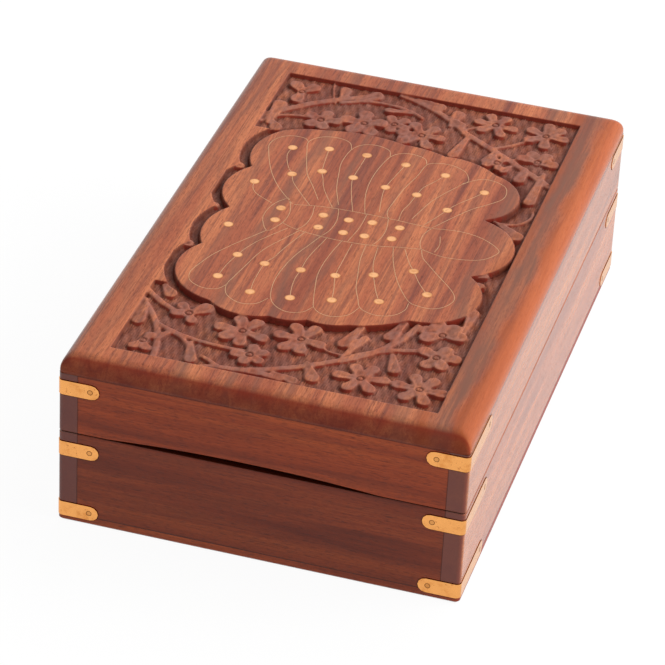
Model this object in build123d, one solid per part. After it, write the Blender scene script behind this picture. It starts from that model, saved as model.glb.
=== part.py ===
# A carved and inlaid card box: a low hardwood case whose lid lifts on two butt hinges at the back.
# The short side at -Y is the front. The origin is the middle of the underside, and +Z is up.
import os
from math import hypot

from build123d import *

# Case, in millimetres
WIDTH = 127.0
DEPTH = 203.2
BASE_HEIGHT = 32.6
LID_HEIGHT = 26.9
SEAM_GAP = 0.2
WALL = 6.0
TOP_THICKNESS = 6.0
BOTTOM_THICKNESS = 3.0
TOP_ROUND = 5.0
CORNER_ROUND = 1.5
ARRIS = 0.4
BOTTOM_CHAMFER = 0.8

# Finger gap under the lid's front edge
FINGER_GAP_FROM_LEFT = 11.0
FINGER_GAP_FROM_RIGHT = 22.0
FINGER_GAP_RISE = 2.1

# Velvet linings
WALL_LINING = 0.8
FLOOR_LINING = 1.2
LINING_BELOW_RIM = 0.6
LINING_CLEARANCE = 0.1

# Corner straps, let into the wood and left a little proud
STRAP_HALF_WIDTH = 2.5
STRAP_THICKNESS = 0.6
STRAP_PROUD = 0.2
STRAP_MORTISE_GAP = 0.3
STRAP_END_SIDES = 12
STRAP_FACE_LEG = 13.0
STRAP_FRONT_SIDE_LEG = 26.0
STRAP_BACK_SIDE_LEG = 18.0
LID_STRAP_LEFT_RISE = 16.0
LID_STRAP_RIGHT_RISE = 17.6
UPPER_STRAP_LEFT_DROP = 5.8
UPPER_STRAP_RIGHT_DROP = 4.8
LOWER_STRAP_HEIGHT = 4.6
NAIL_RADIUS = 0.8
NAIL_SIDES = 5
NAIL_LENGTH = 4.5
NAIL_CLEARANCE = 0.03
NAIL_FROM_LEG_END = 3.0

# Butt hinges
HINGE_FROM_SIDE = 27.5
HINGE_LENGTH = 24.0
HINGE_LEAF_DEPTH = 4.8
HINGE_LEAF_THICKNESS = 1.0
HINGE_KNUCKLES = 3
HINGE_BARREL_SIDES = 12
HINGE_KNUCKLE_RADIUS = 1.6
HINGE_KNUCKLE_GAP = 0.2
HINGE_BACK_CLEARANCE = 0.15
HINGE_MORTISE_GAP = 0.1
HINGE_PIN_RADIUS = 0.75
HINGE_PIN_CLEARANCE = 0.05
SCREW_FROM_HINGE_MIDDLE = 7.2
SCREW_HEAD_RADIUS = 1.4
SCREW_SHANK_RADIUS = 0.8
SCREW_SIDES = 6
SCREW_HEAD_DEPTH = 0.6
SCREW_HEAD_SLOPE = 0.5
SCREW_LENGTH = 5.5
SCREW_CLEARANCE = 0.03

# Carved panel in the lid's top
BORDER_SIDE = 13.0
BORDER_FRONT = 10.0
BORDER_BACK = 12.0
CARVING_DEPTH = 2.0
STEM_WIDTH = 2.2
STEM_CHORDS = 3
LEAF_CHORDS = 3
PETAL_RADIUS_SHARE = 0.43
PETAL_SIDES = 7
RIM_CHANNEL = 3.0

# Brass inlay
DOT_RADIUS = 1.6
DOT_DEPTH = 1.8
WIRE_WIDTH = 0.4
WIRE_DEPTH = 0.9
DOT_SIDES = 7
CELL_TIP_CHORDS = 3
CELL_SIDE_CHORDS = 2
BODY_CHORDS = 3
CELL_TIP_RADIUS = 6.6
CELL_WAIST = 4.6
CELL_ROOT = 2.0

# The pattern is drawn on a sheet of this size, with 0, 0 at the panel's front left corner, and is
# stretched to the panel. Its points are chosen by hand.
SHEET_WIDTH = 101.0
SHEET_DEPTH = 181.2

# Cusps of the scalloped field, clockwise from the front of its left side, each with the bulge of the
# lobe that follows it, as a share of the lobe's chord
FIELD_CUSPS = [
    (19, 34.5, 0.28), (7, 66, 0.18), (7.5, 90, 0.185), (6.5, 117, 0.22), (9.5, 144, 0.06),
    (23, 148.5, 0.075), (50, 148.5, 0.06), (64, 146, 0.11), (83, 140, 0.32), (88, 111, 0.33),
    (91.5, 76.5, 0.36), (79, 44, 0.07), (63, 36, 0.10), (50.5, 34.5, 0.11), (39, 32.5, 0.16),
]
# How many of these lobes, from the first, the scalloped rim on the left follows
RIM_LOBE_COUNT = 4
RIM_FRONT = 40.0
RIM_BACK = 143.0
RIM_WIDTH = 8.5

# Flowers of five petals: place and radius
FLOWERS = [
    (8, 173, 6.5), (17.5, 153.5, 6.5), (31.5, 159, 8), (54, 158, 8.5), (68, 153, 6.5),
    (74.5, 173.5, 8), (92.5, 172.5, 8), (93, 158, 7), (16, 28.5, 6.5), (34.5, 22.5, 7.5),
    (53, 24.5, 7.5), (75, 10, 7.5), (93, 10, 7.5), (93.5, 27.5, 6.5),
]
PETALS = 5

# The larger leaves: foot, tip and width
LEAVES = [
    (28, 172.5, 34.5, 180.5, 5), (80, 169, 79, 157, 6), (84, 141, 94, 138.5, 5), (3, 25, 3, 15, 5.5),
    (66, 24, 65, 36, 7), (84, 42, 100, 43.5, 8),
]

# Stems: start, a point on the way, and end. Some run on into the border.
STEMS = [
    ((4, 152), (14, 164.5), (29, 173)), ((25, 170.5), (37, 174.5), (50, 167)),
    ((45, 178.5), (58, 173), (70, 160)), ((66, 165), (80, 156), (104, 138)),
    ((-3, 40), (10, 20), (12, 2)), ((11, 20), (22, 12.5), (36, 10)), ((13, 14), (20, 9), (25, 2)),
    ((46, 2), (68, 17.5), (81, 43)), ((70, 20), (82, 28), (104, 41)),
]

# Wing cells of the inlaid butterfly: outer dot, inner dot, and foot at the body
WING_CELLS = [
    ((16, 133), (21, 117), (31.5, 100)), ((27.5, 136.5), (29.5, 122), (38.5, 100.5)),
    ((40, 137), (40, 121.5), (46, 101)), ((53.5, 135.5), (51.5, 119), (54, 101)),
    ((68, 133.5), (62, 118), (61, 100.5)), ((82.5, 127.5), (74, 112.5), (69, 100)),
    ((17.5, 49), (19.5, 63), (28, 83)), ((30, 43.5), (29, 61), (35, 82.5)),
    ((42, 44.5), (40.5, 61), (42, 82)), ((55, 48), (51.5, 62), (50, 82)),
    ((68.5, 52), (62.5, 66.5), (58, 82.5)), ((81.5, 61), (74, 73), (65, 83)),
]
BODY_DOT_COLUMNS = (24, 38, 46.5, 53.5, 62.5)
BODY_DOT_ROWS = (87.5, 96)
SIDE_DOTS = ((11, 107.5), (11, 79.5))

# Body, tail and head of the butterfly, each an arc through three points
BODY_ARCS = [
    ((25, 99), (48, 101), (72, 99)), ((26, 85), (48, 82), (72, 85)),
    ((23.5, 101), (19.5, 91), (23.5, 80.5)), ((23.5, 101), (27.5, 91), (23.5, 80.5)),
    ((73, 84.5), (70.5, 93), (73, 100.5)), ((73, 100.5), (85, 101.5), (96.5, 93.5)),
    ((96.5, 93.5), (85, 84), (73, 84.5)), ((11, 107.5), (13.5, 101), (19.5, 96)),
]

# Worked out from the sizes above
HALF_WIDTH = WIDTH / 2
HALF_DEPTH = DEPTH / 2
LID_BOTTOM = BASE_HEIGHT + SEAM_GAP
LID_TOP = LID_BOTTOM + LID_HEIGHT
RAIL_TOP = LID_TOP - TOP_THICKNESS
INSIDE_X = HALF_WIDTH - WALL
INSIDE_Y = HALF_DEPTH - WALL
STRAP_SUNK = STRAP_THICKNESS - STRAP_PROUD
HINGE_FROM_MIDDLE = HALF_WIDTH - HINGE_FROM_SIDE
PIN_Y = HALF_DEPTH + HINGE_BACK_CLEARANCE + HINGE_KNUCKLE_RADIUS
PIN_Z = BASE_HEIGHT + SEAM_GAP / 2
PANEL_LEFT = BORDER_SIDE - HALF_WIDTH
PANEL_FRONT = BORDER_FRONT - HALF_DEPTH
PANEL_WIDTH = WIDTH - 2 * BORDER_SIDE
PANEL_DEPTH = DEPTH - BORDER_FRONT - BORDER_BACK
DRAWN_SCALE = min(PANEL_WIDTH / SHEET_WIDTH, PANEL_DEPTH / SHEET_DEPTH)

LEFT, RIGHT = -1, 1
FRONT, BACK = -1, 1
SIDES = {"left": LEFT, "right": RIGHT}
ENDS = {"front": FRONT, "back": BACK}
LEVELS = ("lid_strap", "base_upper_strap", "base_lower_strap")


def block(x0, x1, y0, y1, z0, z1):
    """A board between two opposite corners."""
    return Pos((x0 + x1) / 2, (y0 + y1) / 2, (z0 + z1) / 2) * Box(x1 - x0, y1 - y0, z1 - z0)


def long_wall(side, z0, z1):
    """A board of a long side, full depth, with its two outer upright edges rounded."""
    inner, outer = sorted((side * INSIDE_X, side * HALF_WIDTH))
    wall = block(inner, outer, -HALF_DEPTH, HALF_DEPTH, z0, z1)
    uprights = wall.edges().filter_by(Axis.Z).sort_by(Axis.X)
    outside = uprights[2:] if side == RIGHT else uprights[:2]
    return fillet(outside, CORNER_ROUND)


def short_wall(end, z0, z1):
    """A board of a short side, between the two long ones."""
    near, far = sorted((end * INSIDE_Y, end * HALF_DEPTH))
    return block(-INSIDE_X, INSIDE_X, near, far, z0, z1)


def ease_outer_edges(wall, z):
    """Take off the arris that runs round the outside of a board at height z."""
    at_height = wall.edges().filter_by_position(Axis.Z, z - ARRIS, z + ARRIS)
    outside = [
        edge for edge in at_height
        if abs(edge.center().X) > HALF_WIDTH - CORNER_ROUND or abs(edge.center().Y) > HALF_DEPTH - CORNER_ROUND
    ]
    return chamfer(outside, ARRIS)


def finger_gap():
    """What is cut from the lid's front rail: a long shallow arc with a level foot."""
    left, right = FINGER_GAP_FROM_LEFT - HALF_WIDTH, HALF_WIDTH - FINGER_GAP_FROM_RIGHT
    start, end = (left, LID_BOTTOM), (right, LID_BOTTOM)
    arc = ThreePointArc(start, ((left + right) / 2, LID_BOTTOM + FINGER_GAP_RISE), end)
    profile = make_face(arc + Line(end, start))
    return extrude(Plane.XZ * profile, HALF_DEPTH + WALL)


def bottom_board():
    """The thin board under the whole box."""
    board = Pos(0, 0, BOTTOM_THICKNESS / 2) * Box(WIDTH, DEPTH, BOTTOM_THICKNESS)
    board = fillet(board.edges().filter_by(Axis.Z), CORNER_ROUND)
    return chamfer(board.faces().sort_by(Axis.Z)[0].outer_wire().edges(), BOTTOM_CHAMFER)


def round_topped(width, length):
    """A bar along Z whose section, in X and Y, is the lid's top board seen from one end."""
    section = Rectangle(width, TOP_THICKNESS)
    section = fillet(section.vertices().group_by(Axis.Y)[-1], TOP_ROUND)
    return extrude(section, length / 2, both=True)


def plain_top_board():
    """The lid's top board before it is carved: square below, with rounds that meet in a mitre above."""
    across = Rot(90, 0, 0) * round_topped(WIDTH, DEPTH)
    along = Rot(0, 0, 90) * Rot(90, 0, 0) * round_topped(DEPTH, WIDTH)
    outline = extrude(RectangleRounded(WIDTH, DEPTH, CORNER_ROUND), TOP_THICKNESS, both=True)
    return Pos(0, 0, (RAIL_TOP + LID_TOP) / 2) * (across & along & outline)


def on_panel(point):
    """A point of the drawn sheet, on the lid's panel."""
    x, y = point
    return (
        PANEL_LEFT + x * PANEL_WIDTH / SHEET_WIDTH,
        PANEL_FRONT + y * PANEL_DEPTH / SHEET_DEPTH,
    )


def lobe(number):
    """Start, end, outward direction and bulge height of one lobe of the field."""
    x0, y0, bulge = FIELD_CUSPS[number]
    x1, y1, _ = FIELD_CUSPS[(number + 1) % len(FIELD_CUSPS)]
    start, end = on_panel((x0, y0)), on_panel((x1, y1))
    run = (end[0] - start[0], end[1] - start[1])
    chord = hypot(*run)
    return start, end, (-run[1] / chord, run[0] / chord), bulge * chord


def lobe_arc(number):
    """The edge of one lobe."""
    start, end, out, rise = lobe(number)
    top = ((start[0] + end[0]) / 2 + out[0] * rise, (start[1] + end[1]) / 2 + out[1] * rise)
    return ThreePointArc(start, top, end)


def lobe_disc(number, grown_by):
    """The full disc that a lobe is part of, grown on all sides."""
    arc = lobe_arc(number)
    centre = arc.arc_center
    return Pos(centre.X, centre.Y) * Circle(arc.radius + grown_by)


def field():
    """The flat scalloped field that carries the inlay."""
    return make_face(Curve() + [lobe_arc(number) for number in range(len(FIELD_CUSPS))])


def scalloped_rim():
    """The rim along the left border, which follows the field's lobes across a channel."""
    left, front = on_panel((0, RIM_FRONT))
    right, back = on_panel((RIM_WIDTH, RIM_BACK))
    strip = Pos((left + right) / 2, (front + back) / 2) * Rectangle(right - left, back - front)
    for number in range(RIM_LOBE_COUNT):
        strip -= lobe_disc(number, RIM_CHANNEL)
    return strip


def flower(x, y, radius):
    """Overlapping petals round a middle, each with few sides because there are so many of them."""
    petal = radius * DRAWN_SCALE * PETAL_RADIUS_SHARE
    ring = PolarLocations(radius * DRAWN_SCALE - petal, PETALS)
    middle = RegularPolygon(petal, PETALS)
    return Pos(*on_panel((x, y))) * (middle + ring * RegularPolygon(petal, PETAL_SIDES))


def along(start, middle, end, chords):
    """Points that cut the arc through three points into even chords."""
    arc = ThreePointArc(start, middle, end)
    places = [arc.position_at(step / chords) for step in range(chords + 1)]
    return [(place.X, place.Y) for place in places]


def beside(point, direction, distance):
    """A point at a distance to the left of a direction."""
    length = hypot(*direction)
    return (point[0] - direction[1] / length * distance, point[1] + direction[0] / length * distance)


def strip(points, width):
    """A strip of even width along the chords between points, with mitred turns."""
    runs = [(b[0] - a[0], b[1] - a[1]) for a, b in zip(points, points[1:])]
    runs = [(x / hypot(x, y), y / hypot(x, y)) for x, y in runs]
    left, right = [], []
    for point, before, after in zip(points, runs[:1] + runs, runs + runs[-1:]):
        ahead = (before[0] + after[0], before[1] + after[1])
        half = width / hypot(*ahead)
        left.append(beside(point, ahead, half))
        right.append(beside(point, ahead, -half))
    return make_face(Polyline(*left, *reversed(right), close=True))


def leaf(x0, y0, x1, y1, width):
    """Two arcs from foot to tip, in chords."""
    foot, tip = on_panel((x0, y0)), on_panel((x1, y1))
    run = (tip[0] - foot[0], tip[1] - foot[1])
    middle = ((foot[0] + tip[0]) / 2, (foot[1] + tip[1]) / 2)
    half = width * DRAWN_SCALE / 2
    left = along(foot, beside(middle, run, half), tip, LEAF_CHORDS)
    right = along(tip, beside(middle, run, -half), foot, LEAF_CHORDS)
    return make_face(Polyline(*left, *right[1:-1], close=True))


def stem(*points):
    """A stem of even width along an arc, in chords."""
    return strip(along(*(on_panel(point) for point in points), STEM_CHORDS), STEM_WIDTH)


def sunk_ground():
    """The ground that is cut away around the field, the rim, the flowers, the leaves and the stems."""
    panel_middle = (PANEL_LEFT + PANEL_WIDTH / 2, PANEL_FRONT + PANEL_DEPTH / 2)
    ground = Pos(*panel_middle) * Rectangle(PANEL_WIDTH, PANEL_DEPTH)
    standing = field() + scalloped_rim()
    standing += [flower(*place) for place in FLOWERS]
    standing += [leaf(*place) for place in LEAVES]
    standing += [stem(*points) for points in STEMS]
    return ground - standing


def dot_places():
    """Middle of every brass dot."""
    places = [dot for outer, inner, _ in WING_CELLS for dot in (outer, inner)]
    places += [(x, y) for y in BODY_DOT_ROWS for x in BODY_DOT_COLUMNS]
    places += SIDE_DOTS
    return [on_panel(place) for place in places]


def dot_discs():
    """Outlines of the dots, with few sides because there are so many of them."""
    return Sketch() + [Pos(x, y) * RegularPolygon(DOT_RADIUS, DOT_SIDES) for x, y in dot_places()]


def cell_outline(outer, inner, foot):
    """The wire round a wing cell, narrow at its foot and round at its tip."""
    upper = (outer[0] - inner[0], outer[1] - inner[1])
    lower = (inner[0] - foot[0], inner[1] - foot[1])
    whole = (outer[0] - foot[0], outer[1] - foot[1])
    tip, waist, root = (size * DRAWN_SCALE for size in (CELL_TIP_RADIUS, CELL_WAIST, CELL_ROOT))
    far = beside(outer, (upper[1], -upper[0]), tip)
    sides = [
        along(
            beside(foot, lower, way * root), beside(inner, whole, way * waist),
            beside(outer, upper, way * tip), CELL_SIDE_CHORDS,
        )
        for way in (1, -1)
    ]
    cap = along(sides[0][-1], far, sides[1][-1], CELL_TIP_CHORDS)
    return strip(sides[0] + cap[1:-1] + sides[1][::-1], WIRE_WIDTH)


def wire_lines():
    """Brass wire of the wings and the body, as thin lines that stop at the dots."""
    wires = [cell_outline(*(on_panel(point) for point in cell)) for cell in WING_CELLS]
    for points in BODY_ARCS:
        wires.append(strip(along(*(on_panel(point) for point in points), BODY_CHORDS), WIRE_WIDTH))
    return Sketch() + wires - dot_discs()


def inlay(shape, depth):
    """Brass of a given outline, let into the lid's top."""
    return extrude(Pos(0, 0, LID_TOP - depth) * shape, depth)


def strap_height(level, side):
    """Middle of a strap above the underside. The straps were set by eye, so left and right differ."""
    heights = {
        ("lid_strap", LEFT): LID_BOTTOM + LID_STRAP_LEFT_RISE,
        ("lid_strap", RIGHT): LID_BOTTOM + LID_STRAP_RIGHT_RISE,
        ("base_upper_strap", LEFT): BASE_HEIGHT - UPPER_STRAP_LEFT_DROP,
        ("base_upper_strap", RIGHT): BASE_HEIGHT - UPPER_STRAP_RIGHT_DROP,
    }
    return heights.get((level, side), LOWER_STRAP_HEIGHT)


def leg(length, half_width, reach):
    """Block that a strap's leg is cut from: along +X from the corner at 0, with a full round end."""
    straight = length - half_width
    bar = Pos((straight - reach) / 2, 0, 0) * Box(straight + reach, 2 * reach, 2 * half_width)
    end = Plane.XZ * Pos(straight, 0) * RegularPolygon(half_width, STRAP_END_SIDES)
    return bar + extrude(end, reach, both=True)


def side_leg(end):
    """Length of a strap's leg along the long side."""
    return STRAP_FRONT_SIDE_LEG if end == FRONT else STRAP_BACK_SIDE_LEG


def strap_shape(level, side, end, outward, inward, grown_by):
    """A strap round an upright corner, between two offsets from the wood's faces."""
    half_width = STRAP_HALF_WIDTH + grown_by
    outline = RectangleRounded(WIDTH + 2 * outward, DEPTH + 2 * outward, CORNER_ROUND + outward)
    hollow = Rectangle(WIDTH - 2 * inward, DEPTH - 2 * inward)
    belt = extrude(Pos(0, 0, -half_width) * (outline - hollow), 2 * half_width)
    face_leg = Rot(0, 0, 0 if side == LEFT else 180) * leg(STRAP_FACE_LEG + grown_by, half_width, WALL / 2)
    long_leg = Rot(0, 0, -90 * end) * leg(side_leg(end) + grown_by, half_width, WALL / 2)
    legs = Pos(side * HALF_WIDTH, end * HALF_DEPTH, 0) * (face_leg + long_leg)
    return Pos(0, 0, strap_height(level, side)) * (belt & legs)


def strap_nails(level, side, end, grown_by=0.0):
    """The pins of one strap, filed flush: one near the end of each leg."""
    x = side * (HALF_WIDTH + STRAP_PROUD)
    y = end * (HALF_DEPTH + STRAP_PROUD)
    z = strap_height(level, side)
    pin = extrude(RegularPolygon(NAIL_RADIUS + grown_by, NAIL_SIDES), -NAIL_LENGTH)
    face_place = side * (HALF_WIDTH - STRAP_FACE_LEG + NAIL_FROM_LEG_END)
    side_place = end * (HALF_DEPTH - side_leg(end) + NAIL_FROM_LEG_END)
    return [
        Pos(face_place, y, z) * Rot(-90 * end, 0, 0) * pin,
        Pos(x, side_place, z) * Rot(0, 90 * side, 0) * pin,
    ]


def strap_names(start):
    """Name, level, side and end of every strap whose level starts with a word."""
    return [
        (f"{level}_{end_name}_{side_name}", level, side, end)
        for level in LEVELS if level.startswith(start)
        for end_name, end in ENDS.items()
        for side_name, side in SIDES.items()
    ]


def strap(level, side, end):
    """A brass strap with its pin holes."""
    body = strap_shape(level, side, end, STRAP_PROUD, STRAP_SUNK, 0.0)
    for hole in strap_nails(level, side, end, NAIL_CLEARANCE):
        body -= hole
    return body


def strap_cuts(start):
    """Mortises and pin holes that the straps need in the wood."""
    cuts = []
    for _, level, side, end in strap_names(start):
        cuts.append(strap_shape(level, side, end, WALL / 4, STRAP_SUNK, STRAP_MORTISE_GAP))
        cuts += strap_nails(level, side, end, NAIL_CLEARANCE)
    return cuts


def cut_where_met(piece, cuts):
    """Take from a piece only the cuts whose boxes meet its own."""
    box = piece.bounding_box()
    for cut in cuts:
        other = cut.bounding_box()
        apart = (
            other.min.X > box.max.X or other.max.X < box.min.X
            or other.min.Y > box.max.Y or other.max.Y < box.min.Y
            or other.min.Z > box.max.Z or other.max.Z < box.min.Z
        )
        if not apart:
            piece -= cut
    return piece


def knuckle_spans(first):
    """Ends, along the hinge, of every second knuckle from the one numbered first."""
    pitch = HINGE_LENGTH / HINGE_KNUCKLES
    return [
        (-HINGE_LENGTH / 2 + pitch * number + HINGE_KNUCKLE_GAP / 2,
         -HINGE_LENGTH / 2 + pitch * (number + 1) - HINGE_KNUCKLE_GAP / 2)
        for number in range(first, HINGE_KNUCKLES, 2)
    ]


def screw(grown_by=0.0):
    """A countersunk screw that hangs down from 0, its head flush."""
    head = extrude(RegularPolygon(SCREW_HEAD_RADIUS + grown_by, SCREW_SIDES), -SCREW_HEAD_DEPTH)
    head = chamfer(head.faces().sort_by(Axis.Z)[0].edges(), SCREW_HEAD_SLOPE)
    return head + extrude(RegularPolygon(SCREW_SHANK_RADIUS + grown_by, SCREW_SIDES), -SCREW_LENGTH)


def screws(middle_x, way, grown_by=0.0):
    """The two screws of one leaf. They point down in the base, way -1, and up in the lid, way +1."""
    turn = 0 if way < 0 else 180
    face = BASE_HEIGHT if way < 0 else LID_BOTTOM
    y = HALF_DEPTH - HINGE_LEAF_DEPTH / 2
    places = (middle_x - SCREW_FROM_HINGE_MIDDLE, middle_x + SCREW_FROM_HINGE_MIDDLE)
    return [Pos(x, y, face) * Rot(turn, 0, 0) * screw(grown_by) for x in places]


def hinge_leaf(middle_x, way):
    """A leaf let in flush with the rim, with its share of the knuckles round the pin."""
    face = BASE_HEIGHT if way < 0 else LID_BOTTOM
    z0, z1 = sorted((face, face + way * HINGE_LEAF_THICKNESS))
    half_length = HINGE_LENGTH / 2
    leaf_plate = block(-half_length, half_length, HALF_DEPTH - HINGE_LEAF_DEPTH, HALF_DEPTH, z0, z1)
    for x0, x1 in knuckle_spans(0 if way < 0 else 1):
        rounded = Plane.YZ * RegularPolygon(HINGE_KNUCKLE_RADIUS, HINGE_BARREL_SIDES)
        barrel = Pos(x0, PIN_Y, PIN_Z) * extrude(rounded, x1 - x0)
        leaf_plate += block(x0, x1, HALF_DEPTH, PIN_Y, z0, z1) + barrel
    bore = Rot(0, 90, 0) * Cylinder(HINGE_PIN_RADIUS + HINGE_PIN_CLEARANCE, 2 * HINGE_LENGTH)
    leaf_plate = Pos(middle_x, 0, 0) * (leaf_plate - Pos(0, PIN_Y, PIN_Z) * bore)
    for hole in screws(middle_x, way, SCREW_CLEARANCE):
        leaf_plate -= hole
    return leaf_plate


def hinge_cuts(way):
    """Mortises and screw holes that both hinges need in a rim."""
    face = BASE_HEIGHT if way < 0 else LID_BOTTOM
    z0, z1 = sorted((face - way * SEAM_GAP, face + way * HINGE_LEAF_THICKNESS))
    reach = HINGE_LENGTH / 2 + HINGE_MORTISE_GAP
    front = HALF_DEPTH - HINGE_LEAF_DEPTH - HINGE_MORTISE_GAP
    cuts = []
    for side in SIDES.values():
        middle_x = side * HINGE_FROM_MIDDLE
        cuts.append(block(middle_x - reach, middle_x + reach, front, HALF_DEPTH + WALL, z0, z1))
        cuts += screws(middle_x, way, SCREW_CLEARANCE)
    return cuts


def hinge_pin(middle_x):
    """The pin of one hinge, as long as its barrel."""
    return Pos(middle_x, PIN_Y, PIN_Z) * Rot(0, 90, 0) * Cylinder(HINGE_PIN_RADIUS, HINGE_LENGTH)


def base_boards():
    """The five boards of the base, cut for straps and hinges."""
    boards = {"bottom_board": bottom_board()}
    for name, side in SIDES.items():
        wall = long_wall(side, BOTTOM_THICKNESS, BASE_HEIGHT)
        boards[f"base_{name}_wall"] = ease_outer_edges(wall, BASE_HEIGHT)
    for name, end in ENDS.items():
        wall = short_wall(end, BOTTOM_THICKNESS, BASE_HEIGHT)
        boards[f"base_{name}_wall"] = ease_outer_edges(wall, BASE_HEIGHT)
    cuts = strap_cuts("base") + hinge_cuts(-1)
    return {name: cut_where_met(board, cuts) for name, board in boards.items()}


def lid_boards():
    """The lid's rails and its carved top board."""
    boards = {}
    for name, side in SIDES.items():
        boards[f"lid_{name}_rail"] = ease_outer_edges(long_wall(side, LID_BOTTOM, RAIL_TOP), LID_BOTTOM)
    for name, end in ENDS.items():
        boards[f"lid_{name}_rail"] = ease_outer_edges(short_wall(end, LID_BOTTOM, RAIL_TOP), LID_BOTTOM)
    boards["lid_front_rail"] -= finger_gap()
    cuts = strap_cuts("lid") + hinge_cuts(1)
    boards = {name: cut_where_met(board, cuts) for name, board in boards.items()}
    carved = plain_top_board() - inlay(sunk_ground(), CARVING_DEPTH)
    boards["lid_top_board"] = carved - inlay(wire_lines(), WIRE_DEPTH) - inlay(dot_discs(), DOT_DEPTH)
    return boards


def linings():
    """Velvet on card: floor and walls of the base, and the underside of the lid's top."""
    x, y = INSIDE_X - LINING_CLEARANCE, INSIDE_Y - LINING_CLEARANCE
    floor_top = BOTTOM_THICKNESS + FLOOR_LINING
    rim = BASE_HEIGHT - LINING_BELOW_RIM
    return {
        "base_floor_lining": block(-x, x, -y, y, BOTTOM_THICKNESS, floor_top),
        "base_left_lining": block(-x, WALL_LINING - x, -y, y, floor_top, rim),
        "base_right_lining": block(x - WALL_LINING, x, -y, y, floor_top, rim),
        "base_front_lining": block(WALL_LINING - x, x - WALL_LINING, -y, WALL_LINING - y, floor_top, rim),
        "base_back_lining": block(WALL_LINING - x, x - WALL_LINING, y - WALL_LINING, y, floor_top, rim),
        "lid_lining": block(-x, x, -y, y, RAIL_TOP - FLOOR_LINING, RAIL_TOP),
    }


def hinges():
    """Leaves, pins and screws of both hinges."""
    pieces = {"hinge_base_screws": [], "hinge_lid_screws": []}
    for name, side in SIDES.items():
        middle_x = side * HINGE_FROM_MIDDLE
        pieces[f"hinge_{name}_base_leaf"] = hinge_leaf(middle_x, -1)
        pieces[f"hinge_{name}_lid_leaf"] = hinge_leaf(middle_x, 1)
        pieces[f"hinge_{name}_pin"] = hinge_pin(middle_x)
        pieces["hinge_base_screws"] += screws(middle_x, -1)
        pieces["hinge_lid_screws"] += screws(middle_x, 1)
    return pieces


def straps_and_nails():
    """Every strap as its own piece, with the pins of the base and of the lid as two groups."""
    pieces = {"base_strap_nails": [], "lid_strap_nails": []}
    for group in ("base", "lid"):
        for name, level, side, end in strap_names(group):
            pieces[name] = strap(level, side, end)
            pieces[f"{group}_strap_nails"] += strap_nails(level, side, end)
    return pieces


def brass_inlay():
    """Dots and wires of the butterfly, flush with the field."""
    return {
        "inlay_dots": inlay(dot_discs(), DOT_DEPTH),
        "inlay_wires": inlay(wire_lines(), WIRE_DEPTH),
    }


def write(pieces):
    """One file for each named piece or group of like pieces."""
    os.makedirs("parts", exist_ok=True)
    for name, piece in pieces.items():
        solids = [solid for item in (piece if isinstance(piece, list) else [piece]) for solid in item.solids()]
        export_step(Compound(solids) if len(solids) > 1 else solids[0], f"parts/{name}.step")


write({**base_boards(), **lid_boards(), **linings(), **hinges(), **straps_and_nails(), **brass_inlay()})
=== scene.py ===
# A carved and inlaid card box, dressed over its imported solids: carved lid, brass inlay, straps and
# nails, hinges, velvet linings, sheesham boards, and a plain studio. Metres, +Z up, front at -Y.
from math import cos, hypot, pi, radians, sin

import bpy
import numpy as np
from mathutils import Matrix, Vector


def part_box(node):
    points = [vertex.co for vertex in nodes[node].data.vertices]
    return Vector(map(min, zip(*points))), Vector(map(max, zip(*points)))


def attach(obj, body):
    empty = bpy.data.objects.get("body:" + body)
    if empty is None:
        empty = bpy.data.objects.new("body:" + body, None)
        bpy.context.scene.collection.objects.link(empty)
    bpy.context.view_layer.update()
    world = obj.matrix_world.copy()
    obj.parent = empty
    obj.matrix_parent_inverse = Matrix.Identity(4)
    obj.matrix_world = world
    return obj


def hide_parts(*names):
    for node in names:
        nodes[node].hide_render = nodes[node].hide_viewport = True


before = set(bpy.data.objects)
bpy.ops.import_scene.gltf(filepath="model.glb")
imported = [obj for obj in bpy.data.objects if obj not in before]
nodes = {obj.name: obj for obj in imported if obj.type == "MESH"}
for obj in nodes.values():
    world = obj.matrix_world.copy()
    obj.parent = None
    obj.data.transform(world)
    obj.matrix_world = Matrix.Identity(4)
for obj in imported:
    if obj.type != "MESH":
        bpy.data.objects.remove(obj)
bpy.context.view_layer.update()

MM = 0.001

# The lid's board, from its imported solid, in millimetres. Its wood stays a hair below its box for the proud
# inlay.
BOARD_LOW, BOARD_HIGH = (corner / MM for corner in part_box("lid_top_board"))
PROUD = 0.03
LID_TOP = BOARD_HIGH.z - PROUD
BOARD_ROUND = 5.0
CORNER_POWER_TOP, CORNER_POWER_FOOT = 2.0, 7.0

# Carved panel, drawn on a sheet with 0, 0 at its front left corner, in millimetres
BORDER_SIDE, BORDER_FRONT, BORDER_BACK = 13.0, 10.0, 12.0
PANEL_LEFT = BOARD_LOW.x + BORDER_SIDE
PANEL_FRONT = BOARD_LOW.y + BORDER_FRONT
PANEL_RIGHT = BOARD_HIGH.x - BORDER_SIDE
PANEL_BACK = BOARD_HIGH.y - BORDER_BACK
PANEL_WIDTH = PANEL_RIGHT - PANEL_LEFT
PANEL_DEPTH = PANEL_BACK - PANEL_FRONT
CARVING_DEPTH = 2.0
FINE_STEP, COARSE_STEP, GRID_MARGIN = 0.3, 1.6, 1.5
ROUND_STEPS, LOBE_STEPS, STEM_STEPS, WIRE_STEPS = 10, 14, 18, 6

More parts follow.
